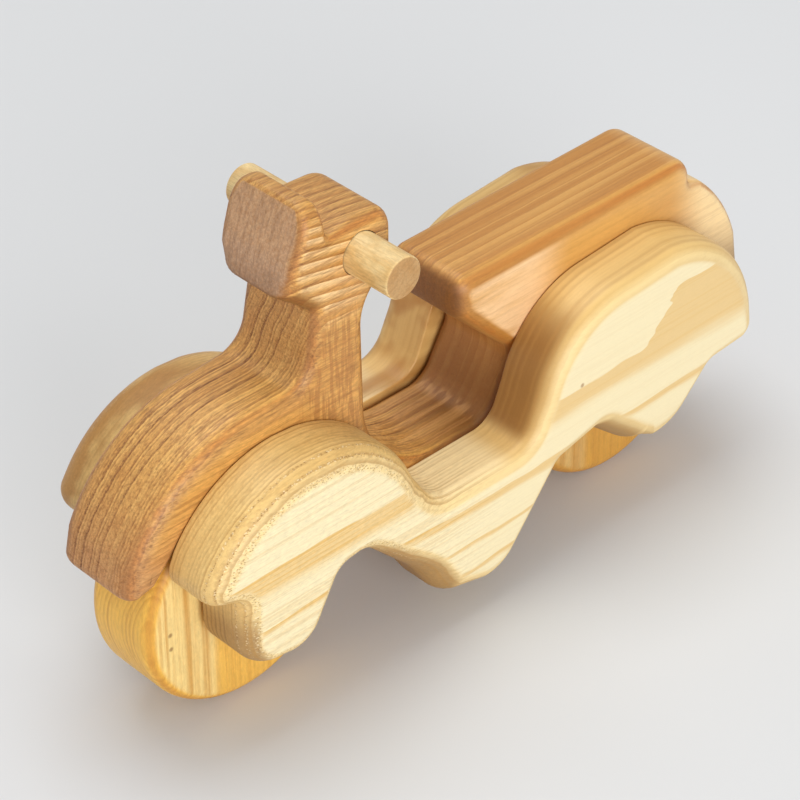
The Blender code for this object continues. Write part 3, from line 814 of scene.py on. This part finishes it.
def reddish_centre_wood():
    """Reddish brown wood with its grain along X and upright rings that lean over in the head."""
    wood = Finish("reddish_centre_wood")
    head = wood.between(wood.up, HANDLEBAR_AXIS[1] - 20.0, HANDLEBAR_AXIS[1] - 10.0)
    tilt = wood.product(head, wood.weighed(0.21 * HANDLEBAR_AXIS[0], (wood.along, -0.21)))
    above = wood.weighed(20.0 - HANDLEBAR_AXIS[1], (wood.up, 1.0), (tilt, 1.0))
    lean_over = wood.maths("SMOOTH_MAX", above, 0.0, 10.0)
    bend = wood.noise((160.0, 30.0, 30.0), 1.0)
    ripple = wood.noise((24.0, 5.0, 5.0), 2.0)
    layer = wood.weighed(0.0, (wood.across, -1.0), (lean_over, 0.9), (bend, 2.6), (ripple, 1.2))
    rings = wood.maths("DIVIDE", layer, CENTRE_RING_STEP)
    fine_rings = wood.maths("DIVIDE", layer, CENTRE_FINE_STEP)
    soft_rings = wood.maths("DIVIDE", layer, CENTRE_SOFT_STEP)
    phase = wood.maths("FRACT", rings)
    fibre = wood.noise((50.0, 1.0, 1.0), 3.0, 0.7)
    streak = wood.noise((140.0, 3.0, 3.0), 2.0, 0.5, 5.0)
    speckle = wood.noise((2.6, 0.75, 0.75), 2.0, 0.8, 8.0)
    tone = wood.noise((90.0, 16.0, 16.0), 2.0, shift=3.0)
    mottle = wood.noise((34.0, 20.0, 9.0), 2.0, 0.5, 6.0)
    brush = wood.noise((30.0, 1.2, 7.0), 2.0, 0.6, 9.0)
    stripe = wood.noise((150.0, 2.6, 2.6), 1.0, 0.5, 11.0)
    hatch = wood.noise((0.9, 6.0, 10.0), 2.0, 0.6, 2.0)

    near = wood.between(wood.along, -25.0, 25.0)
    crisp = wood.weighed(0.25, (near, 0.75))
    ahead = wood.maths("ABSOLUTE", wood.facing[0])
    lean = wood.product(wood.facing[1], wood.facing[1])
    end = wood.between(ahead, 0.4, 0.9)
    side = wood.product(wood.between(lean, 0.8, 0.98), wood.rest(head))
    column = wood.product(wood.between(wood.up, FLOOR + 10.0, FLOOR + 20.0), wood.rest(head))
    column = wood.product(column, wood.stretch(wood.along, 18.0, 24.0, 52.0, 60.0))
    column = wood.product(column, wood.between(lean, 0.6, 0.95))
    plate = wood.between(wood.along, HANDLEBAR_AXIS[0] + 13.0, HANDLEBAR_AXIS[0] + 17.0)
    plate = wood.product(plate, wood.between(wood.up, HANDLEBAR_AXIS[1] - 12.0, HANDLEBAR_AXIS[1] - 3.0))
    plate = wood.product(plate, wood.between(ahead, 0.8, 0.97))
    tail = wood.between(wood.along, REAR_AXLE[0] - 16.0, REAR_AXLE[0] - 34.0)
    # Painted shade: the front face of the seat's nose, which the head shades
    shaded_nose = wood.stretch(wood.along, -16.0, -8.0, 4.0, 8.0)
    shaded_nose = wood.product(shaded_nose, wood.between(wood.up, SEAT_TOP - 24.0, SEAT_TOP - 12.0))
    # Painted shade: the low body under the seat's overhang, between the panels, is darkened
    shaded_footwell = wood.between(wood.up, SEAT_TOP - 26.0, FLOOR + 4.0)
    shaded_footwell = wood.product(shaded_footwell, wood.between(wood.along, 12.0, -8.0))
    ground = wood.between(wood.up, FLOOR + 16.0, FLOOR + 6.0)
    ground = wood.product(ground, wood.stretch(wood.along, -36.0, -24.0, 30.0, 40.0))
    ground = wood.product(ground, wood.between(wood.facing[2], 0.75, 0.97))
    tip = wood.between(wood.up, AXLE_HEIGHT + 44.0, AXLE_HEIGHT + 20.0)
    tip = wood.product(tip, wood.between(wood.along, 84.0, 100.0))

    plain = wood.product(wood.rest(wood.product(0.8, side)), wood.rest(plate), crisp)
    plain = wood.product(plain, wood.rest(wood.product(0.3, head)))
    line = wood.product(wood.ring_lines(rings, 0.08, 0.5, 0.8), wood.weighed(0.3, (fibre, 1.4)), plain)
    fine_line = wood.ring_lines(fine_rings, 0.15, 0.75, 0.8)
    fine_line = wood.product(fine_line, wood.weighed(0.1, (fibre, 1.8)), plain)
    thread = wood.product(wood.between(fibre, 0.47, 0.62), crisp, wood.rest(wood.product(0.4, plate)))
    soft_line = wood.product(wood.ring_lines(soft_rings, 0.3, 0.9, 0.6), wood.rest(near), wood.rest(side))
    pore = wood.product(wood.dashes((6.0, 0.55, 0.55), 0.5), wood.weighed(0.25, (line, 0.9)), plain)
    swell = wood.product(phase, wood.ring_strength(wood.maths("ADD", rings, 17.0)))
    band = wood.product(wood.weighed(-0.5, (phase, 1.0)), head, wood.rest(plate))
    peach = wood.product(side, wood.stretch(wood.along, -44.0, -26.0, -8.0, 4.0))
    peach = wood.product(peach, wood.between(mottle, 0.3, 0.55))
    cheek = wood.product(head, wood.between(lean, 0.7, 0.95), wood.between(phase, 0.2, 0.9))
    cheek = wood.product(cheek, wood.between(wood.along, HANDLEBAR_AXIS[0] - 10.0, HANDLEBAR_AXIS[0] + 8.0))
    # Painted shade: the upward faces of the head are made darker than its sides
    shaded_head_top = wood.product(head, wood.between(wood.facing[2], 0.4, 0.9))
    # Painted shade: the downward faces under the head's chin
    shaded_chin = wood.product(head, wood.between(wood.facing[2], -0.05, -0.5))
    # Painted shade: the plate grows darker towards its lower end near the chin
    shaded_low_plate = wood.between(wood.up, HANDLEBAR_AXIS[1] + 4.0, HANDLEBAR_AXIS[1] - 12.0)
    warmth = wood.weighed(-0.6, (tone, 0.8), (streak, 0.8), (swell, 0.45), (fibre, 0.4), (band, 0.55))
    warmth = wood.weighed(warmth, (soft_line, -0.7), (wood.product(wood.rest(near), wood.rest(side)), -0.35))
    crest = wood.stretch(lean, 0.02, 0.15, 0.2, 0.4)
    shoulder = wood.stretch(lean, 0.15, 0.4, 0.5, 0.85)

    colour = wood.mix(warmth, srgb(194, 134, 62), srgb(238, 186, 104))
    colour = wood.stain(colour, srgb(252, 210, 160), 0.85, peach)
    colour = wood.stain(colour, srgb(254, 226, 180), 0.45, cheek)
    # Painted shade darkening the top of the head
    colour = wood.stain(colour, srgb(172, 122, 70), 0.35, shaded_head_top)
    colour = wood.stain(colour, srgb(254, 224, 168), 0.9, tail)
    colour = wood.stain(colour, srgb(186, 130, 98), 0.45, tip)
    colour = wood.stain(colour, srgb(224, 168, 78), 0.4, crest, wood.rest(end))
    colour = wood.stain(colour, srgb(196, 120, 46), 0.7, shoulder, wood.between(streak, 0.25, 0.6))
    colour = wood.stain(colour, srgb(144, 90, 44), 0.65, wood.stretch(lean, 0.03, 0.2, 0.3, 0.6), end)
    colour = wood.stain(colour, srgb(180, 126, 82), 0.3, end)
    colour = wood.stain(colour, srgb(188, 150, 120), 0.85, plate)
    # Painted shade on the lower plate
    colour = wood.stain(colour, srgb(112, 72, 42), 0.85, plate, shaded_low_plate)
    # Painted shade under the chin
    colour = wood.stain(colour, srgb(104, 66, 36), 0.7, shaded_chin)
    colour = wood.stain(colour, srgb(132, 96, 68), 0.45, plate, wood.between(brush, 0.45, 0.65))
    # Painted shade on the front face of the seat's nose
    colour = wood.stain(colour, srgb(118, 74, 36), 0.9, shaded_nose, end)
    # Painted shade darkening the footwell under the seat
    colour = wood.stain(colour, srgb(112, 68, 28), 0.7, shaded_footwell)
    colour = wood.stain(colour, srgb(212, 160, 96), 0.55, ground, wood.between(stripe, 0.47, 0.6))
    colour = wood.stain(colour, srgb(104, 62, 26), 0.25, ground, wood.between(stripe, 0.46, 0.36))
    colour = wood.stain(colour, srgb(160, 104, 50), 0.5, thread)
    colour = wood.stain(colour, srgb(150, 96, 46), 0.7, fine_line)
    colour = wood.stain(colour, srgb(138, 86, 40), 0.65, line)
    colour = wood.stain(colour, srgb(112, 70, 34), 0.6, pore)
    colour = wood.stain(colour, srgb(214, 176, 140), 0.2, plate, wood.dashes((0.8, 0.8, 1.6), 0.4, 4.0))
    colour = wood.stain(colour, srgb(168, 110, 54), 0.6, column, wood.between(hatch, 0.46, 0.6))
    grain = wood.product(wood.weighed(-0.5, (speckle, 1.0)), crisp)
    colour = wood.shade(colour, wood.weighed(0.5, (grain, 1.0)), 0.45)
    rough = wood.weighed(0.38, (fibre, 0.14), (end, 0.1), (pore, 0.2))
    height = wood.weighed(0.0, (fibre, 0.4), (speckle, 0.4), (line, -0.5), (pore, -1.0))
    return wood.finish(colour, rough, height, 0.07)


def pale_panel_wood(name, shift, porous_share, stained_share):
    """Ring-porous pale wood with its grain along X and its rings nearly parallel to the outer face."""
    wood = Finish(name)
    depth = wood.maths("SUBTRACT", PANEL_OUTER_FACE, wood.maths("ABSOLUTE", wood.across))
    behind = wood.between(wood.along, -52.0, -72.0)
    slow = wood.noise((100.0, 80.0, 30.0), 1.0, shift=shift)
    quick = wood.noise((34.0, 20.0, 6.0), 2.0, shift=shift)
    jag = wood.noise((40.0, 30.0, 3.2), 1.0, 0.5, 7.0 + shift)
    ripple = wood.noise((16.0, 3.0, 3.0), 2.0, 0.5, 1.0 + shift)
    layer = wood.weighed(depth, (slow, 1.4), (quick, 0.6), (ripple, 0.6))
    fine_rings = wood.maths("DIVIDE", layer, PANEL_FINE_STEP)
    soft_rings = wood.maths("DIVIDE", layer, PANEL_SOFT_STEP)
    deep_rings = wood.maths("DIVIDE", layer, PANEL_DEEP_STEP)
    fibre = wood.noise((150.0, 1.0, 1.0), 3.0, 0.65)
    speckle = wood.noise((2.6, 0.75, 0.75), 2.0, 0.8, 8.0)
    tone = wood.noise((50.0, 12.0, 12.0), 2.0, 0.5, 4.0 + shift)

    crisp = wood.weighed(0.2, (wood.between(wood.along, -12.0, 32.0), 0.8))
    front = wood.facing[0]
    outside = wood.rest(wood.between(depth, 1.0, 2.5))
    flat = wood.product(wood.between(wood.maths("ABSOLUTE", wood.facing[1]), 0.95, 1.0), outside)
    curved = wood.rest(flat)
    end = wood.between(wood.maths("ABSOLUTE", front), 0.5, 0.98)
    # Lower front-facing faces of the lobes, under the bulges' overhang
    low = wood.between(wood.up, AXLE_HEIGHT + 16.0, AXLE_HEIGHT + 4.0)
    low = wood.product(low, wood.between(front, 0.1, 0.5))
    # Painted light: the upward faces in the dip between the bulges
    dip = wood.stretch(wood.along, -8.0, 2.0, 26.0, 36.0)
    dip = wood.product(dip, wood.between(wood.facing[2], 0.5, 0.9))
    # Painted shade: the front-facing rim of the knee bulge, which the column and seat shade
    knee = wood.product(wood.stretch(wood.along, -42.0, -28.0, -10.0, 2.0), wood.between(front, 0.3, 0.8))
    rear = wood.between(wood.along, 10.0, -25.0)

    fine_line = wood.product(wood.ring_lines(fine_rings, 0.12, 0.8, 1.6), curved, crisp)
    soft_line = wood.product(wood.ring_lines(soft_rings, 0.35, 0.9, 0.6), curved, rear)
    deep_line = wood.product(wood.ring_lines(deep_rings, 0.15, 0.6, 0.4), wood.between(depth, 7.0, 10.0), low)
    row = wood.weighed(depth, (quick, 0.5), (slow, 0.4))
    rows = wood.maths("ADD", wood.stretch(row, 0.3, 0.5, 1.0, 1.7), wood.stretch(row, 2.2, 2.6, 2.8, 3.2))
    rows = wood.maths("ADD", rows, wood.stretch(row, 4.6, 5.0, 5.2, 5.6))
    porous = wood.product(rows, curved, wood.between(wood.along, 26.0, 44.0), porous_share)
    pore = wood.product(wood.dashes((0.9, 0.5, 0.5), 0.42), porous)
    chip = wood.product(wood.dashes((1.0, 0.6, 0.6), 0.45, 6.0), porous)
    thread = wood.product(wood.between(fibre, 0.48, 0.6), crisp, wood.rest(wood.product(0.7, end)))
    wave = wood.weighed(wood.up, (quick, -5.0), (slow, -6.0))
    flame = wood.product(behind, wood.weighed(9.0, (jag, 16.0)))

    rim = wood.mix(tone, srgb(220, 176, 102), srgb(240, 206, 136))
    rim = wood.stain(rim, srgb(248, 224, 166), 0.7, wood.between(depth, 3.0, 0.3))
    # Painted light making the dip's upward faces paler
    rim = wood.stain(rim, srgb(252, 230, 178), 0.75, dip)
    # Painted shade on the knee's rim, weaker on the right panel
    rim = wood.stain(rim, srgb(144, 96, 38), 0.95 - 0.7 * stained_share, knee, wood.between(depth, 0.5, 7.0))
    # Painted shade on the lower lobes' front faces under the bulges
    rim = wood.stain(rim, srgb(160, 120, 68), 0.85, low)
    rim = wood.stain(rim, srgb(172, 116, 50), 0.85 * stained_share, wood.between(tone, 0.4, 0.6))
    colour = wood.mix(flat, rim, wood.stain(srgb(243, 227, 184), srgb(222, 190, 132), 0.45, thread))
    for top, width, flame_share in PANEL_BANDS:
        fall = wood.maths("SUBTRACT", top - 5.5, wave)
        start = wood.maths("ADD", fall, wood.product(flame, flame_share))
        faded = wood.between(fall, width * 0.5, width * 1.1)
        tan = wood.product(wood.between(start, 0.0, 0.5), wood.rest(faded))
        colour = wood.stain(colour, srgb(224, 178, 94), 0.9, tan, flat, wood.weighed(0.7, (thread, 0.3)))
    colour = wood.stain(colour, srgb(190, 144, 78), 0.3, thread, curved)
    colour = wood.stain(colour, srgb(176, 130, 64), 0.7, fine_line)
    colour = wood.stain(colour, srgb(186, 138, 72), 0.4, soft_line)
    colour = wood.stain(colour, srgb(116, 76, 36), 0.8, deep_line)
    colour = wood.stain(colour, srgb(254, 236, 192), 0.5, chip)
    colour = wood.stain(colour, srgb(160, 112, 56), 0.6, pore)
    colour = wood.stain(colour, srgb(190, 146, 92), 0.15, end)
    grain = wood.product(wood.weighed(-0.5, (speckle, 1.0)), crisp)
    colour = wood.shade(colour, wood.weighed(0.5, (grain, 1.0)), 0.25)
    knot = wood.knot((PANEL_KNOT[0], PANEL_OUTER_FACE, PANEL_KNOT[1]), KNOT_RADIUS)
    colour = wood.stain(colour, srgb(150, 96, 40), 0.65, knot)
    rough = wood.weighed(0.4, (fibre, 0.1), (pore, 0.2), (end, 0.08))
    height = wood.weighed(0.0, (fibre, 0.3), (speckle, 0.3), (chip, 0.4), (pore, -1.0))
    return wood.finish(colour, rough, height, 0.1)


def honey_wheel_wood(name, axle, brown_share):
    """Honey coloured wood with upright grain, brown stripes ahead of the axle and a golden half behind."""
    wood = Finish(name)
    wander = wood.noise((30.0, 30.0, 60.0), 1.0)
    from_axle = wood.weighed(-axle[0] - 1.0, (wood.along, 1.0), (wander, 2.0))
    slant = wood.weighed(from_axle, (wood.across, 0.8))
    fine_rings = wood.maths("DIVIDE", slant, WHEEL_FINE_STEP)
    fine_line = wood.ring_lines(fine_rings, 0.15, 0.8, 1.0)
    fibre = wood.noise((1.0, 1.0, 60.0), 3.0, 0.65)
    speckle = wood.noise((0.75, 0.75, 2.6), 2.0, 0.8, 8.0)
    lean = wood.product(wood.facing[1], wood.facing[1])
    side = wood.between(lean, 0.75, 1.0)
    shoulder = wood.stretch(lean, 0.1, 0.35, 0.5, 0.9)
    thread = wood.between(fibre, 0.48, 0.62)
    colour = wood.mix(wood.between(from_axle, 14.0, 10.0), srgb(243, 212, 138), srgb(238, 186, 84))
    colour = wood.mix(side, srgb(242, 188, 78), colour)
    for place, half_width in WHEEL_STRIPES:
        off = wood.maths("ABSOLUTE", wood.maths("SUBTRACT", from_axle, place))
        stripe = wood.between(off, half_width * 1.5, half_width * 0.5)
        colour = wood.stain(colour, srgb(202, 146, 62), 0.65, stripe, side, wood.weighed(0.7, (thread, 0.3)))
    colour = wood.stain(colour, srgb(198, 134, 42), 0.75, fine_line, wood.rest(wood.product(0.85, side)))
    colour = wood.stain(colour, srgb(204, 142, 54), 0.3, thread)
    colour = wood.stain(colour, srgb(196, 126, 38), 0.55, shoulder)
    colour = wood.stain(colour, srgb(186, 124, 44), brown_share)
    colour = wood.shade(colour, speckle, 0.22)
    for rise in WHEEL_KNOT_RISES:
        knot = wood.knot((axle[0] + WHEEL_KNOT_AHEAD, WHEEL_WIDTH * 0.5, AXLE_HEIGHT + rise), KNOT_RADIUS)
        colour = wood.stain(colour, srgb(128, 82, 30), 0.7, knot)
    rough = wood.weighed(0.36, (fibre, 0.12))
    height = wood.weighed(0.0, (fibre, 0.4), (speckle, 0.3), (fine_line, -0.3))
    return wood.finish(colour, rough, height, 0.07)


def pale_dowel_wood():
    """Straight-grained pale wood along the dowel, with a tan end."""
    wood = Finish("pale_dowel_wood")
    wander = wood.noise((9.0, 60.0, 9.0), 1.0)
    layer = wood.weighed(wood.up, (wood.along, 0.6), (wander, 3.0))
    rings = wood.maths("DIVIDE", layer, DOWEL_RING_STEP)
    line = wood.ring_lines(rings, 0.1, 0.7, 1.0)
    fibre = wood.noise((0.8, 30.0, 0.8), 3.0, 0.6)
    speckle = wood.noise((0.7, 2.4, 0.7), 2.0, 0.8, 8.0)
    patch = wood.noise((7.0, 11.0, 7.0), 2.0, 0.5, 2.0)
    pore = wood.product(wood.dashes((0.5, 4.0, 0.5), 0.45), wood.weighed(0.1, (line, 0.6)))
    end = wood.between(wood.maths("ABSOLUTE", wood.facing[1]), 0.6, 0.95)
    colour = wood.mix(wood.between(patch, 0.35, 0.65), srgb(222, 182, 116), srgb(240, 212, 154))
    colour = wood.stain(colour, srgb(206, 162, 96), 0.4, line)
    colour = wood.stain(colour, srgb(212, 168, 100), 0.35, wood.between(fibre, 0.48, 0.64))
    colour = wood.stain(colour, srgb(150, 106, 56), 0.5, pore)
    colour = wood.stain(colour, srgb(170, 122, 72), 0.75, end)
    colour = wood.shade(colour, speckle, 0.3)
    rough = wood.weighed(0.48, (fibre, 0.1), (end, 0.15))
    height = wood.weighed(0.0, (fibre, 0.4), (speckle, 0.4), (pore, -1.0))
    return wood.finish(colour, rough, height, 0.08)


# Studio

def floor_finish():
    """Plain pale paper."""
    material = bpy.data.materials.new("pale_paper")
    material.use_nodes = True
    shader = material.node_tree.nodes["Principled BSDF"]
    shader.inputs["Base Color"].default_value = PAPER_COLOUR
    shader.inputs["Roughness"].default_value = PAPER_ROUGHNESS
    shader.inputs["Specular IOR Level"].default_value = PAPER_SHINE
    return material


def studio_floor():
    """Wide pale floor under the wheels."""
    builder = bmesh.new()
    half_width = PAPER_HALF_WIDTH * MILLIMETRE
    bmesh.ops.create_grid(builder, x_segments=1, y_segments=1, size=half_width)
    mesh = bpy.data.meshes.new("floor")
    builder.to_mesh(mesh)
    builder.free()
    mesh.materials.append(floor_finish())
    new_object("floor", mesh)


def soft_lamp(name, place, size, power):
    """Square lamp that faces the scooter."""
    lamp = bpy.data.lights.new(name, "AREA")
    lamp.size = size * MILLIMETRE
    lamp.energy = power
    holder = bpy.data.objects.new(name, lamp)
    holder.location = Vector(place) * MILLIMETRE
    holder.rotation_euler = (-Vector(place)).to_track_quat("-Z", "Y").to_euler()
    bpy.context.scene.collection.objects.link(holder)


def studio_light():
    """Soft light from above, another from the right, and an even sky."""
    soft_lamp("top_lamp", TOP_LAMP_PLACE, TOP_LAMP_SIZE, TOP_LAMP_POWER)
    soft_lamp("right_lamp", RIGHT_LAMP_PLACE, RIGHT_LAMP_SIZE, RIGHT_LAMP_POWER)
    sky = bpy.data.worlds.new("even_sky")
    sky.use_nodes = True
    background = sky.node_tree.nodes["Background"]
    background.inputs["Color"].default_value = SKY_COLOUR
    background.inputs["Strength"].default_value = SKY_STRENGTH
    bpy.context.scene.world = sky


def studio_camera():
    """Camera on the photograph's line of sight."""
    azimuth = math.radians(CAMERA_AZIMUTH)
    elevation = math.radians(CAMERA_ELEVATION)
    level = math.cos(elevation)
    back = Vector((level * math.cos(azimuth), level * math.sin(azimuth), math.sin(elevation)))
    turn = back.to_track_quat("Z", "Y").to_matrix() @ Matrix.Rotation(math.radians(CAMERA_ROLL), 3, "Z")
    lens = bpy.data.cameras.new("camera")
    lens.lens = CAMERA_LENS
    lens.sensor_width = SENSOR_WIDTH
    camera = bpy.data.objects.new("camera", lens)
    camera.matrix_world = Matrix.Translation(Vector(CAMERA_PLACE) * MILLIMETRE) @ turn.to_4x4()
    bpy.context.scene.collection.objects.link(camera)
    bpy.context.scene.camera = camera


# The scooter

wheel_shape = wheel_tree()
dowel_shape = dowel_tree()
centre_finish = reddish_centre_wood()
left_finish = pale_panel_wood("pale_left_panel_wood", shift=0.0, porous_share=1.0, stained_share=0.0)
right_finish = pale_panel_wood("pale_right_panel_wood", shift=2.0, porous_share=0.3, stained_share=1.0)
dowel_finish = pale_dowel_wood()

board_mesh = centre_board_mesh()
left_mesh = side_panel_mesh(1)
right_mesh = side_panel_mesh(-1)
dress("centre_board_visual", board_mesh, "centre_board", "body", centre_finish)
dress("left_side_panel_visual", left_mesh, "left_side_panel", "body", left_finish)
dress("right_side_panel_visual", right_mesh, "right_side_panel", "body", right_finish)
bar_mesh = turned_dowel_mesh(HANDLEBAR_RADIUS, HANDLEBAR_LENGTH, HANDLEBAR_AXIS)
dress("handlebar_visual", bar_mesh, "handlebar", "body", dowel_finish)
wheel_rows = (("front", FRONT_AXLE, FRONT_WHEEL_BROWN), ("rear", REAR_AXLE, REAR_WHEEL_BROWN))
for end, axle, brown_share in wheel_rows:
    wheel = end + "_wheel"
    wheel_finish = honey_wheel_wood("honey_" + wheel + "_wood", axle, brown_share)
    dress(wheel + "_visual", turned_wheel_mesh(axle), wheel, wheel, wheel_finish)
    axle_mesh = turned_dowel_mesh(AXLE_RADIUS, AXLE_LENGTH, axle)
    dress(end + "_axle_visual", axle_mesh, end + "_axle", "body", dowel_finish)

studio_floor()
studio_light()
studio_camera()
bpy.context.scene.view_settings.view_transform = "Standard"
